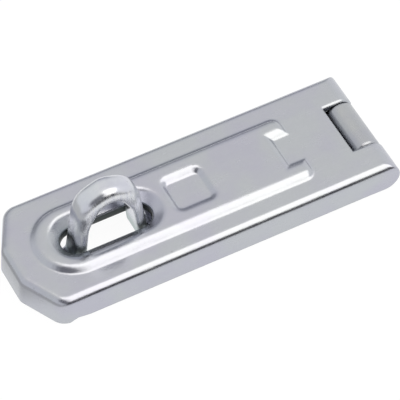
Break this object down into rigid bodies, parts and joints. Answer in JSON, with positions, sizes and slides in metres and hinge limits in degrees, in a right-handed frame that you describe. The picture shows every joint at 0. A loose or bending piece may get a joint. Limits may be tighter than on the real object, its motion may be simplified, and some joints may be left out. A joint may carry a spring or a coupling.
{
  "type": "safety hasp and staple",
  "caption": "Pressed-steel hasp, closed: a slotted cover swings on a concealed hinge pin over a fixed staple plate, whose loop stands through the slot to take a padlock shackle.",
  "frame": {"origin": "centre of the footprint, on the mounting plane under the hinge leaf and the staple plate", "axes": "+X from the free end to the hinge, +Y across the cover, +Z away from the door"},
  "size_m": [0.116, 0.039, 0.0286],
  "materials": {
    "cover_zinc": "bright zinc plate on pressed steel",
    "leaf_zinc": "bright zinc plate on rolled steel",
    "pin_steel": "drawn steel",
    "staple_zinc": "bright zinc plate with shear marks"
  },
  "bodies": {
    "base": {"hinge_leaf": "leaf_zinc", "staple_plate": "staple_zinc"},
    "hasp": {"hasp_cover": "cover_zinc", "hinge_pin": "pin_steel"}
  },
  "joints": [
    {"name": "cover_hinge", "type": "hinge", "parent": "base", "child": "hasp", "pos_m": [0.05315, 0, 0.00495], "axis": [0, 1, 0], "range_deg": [0, 175]}
  ]
}
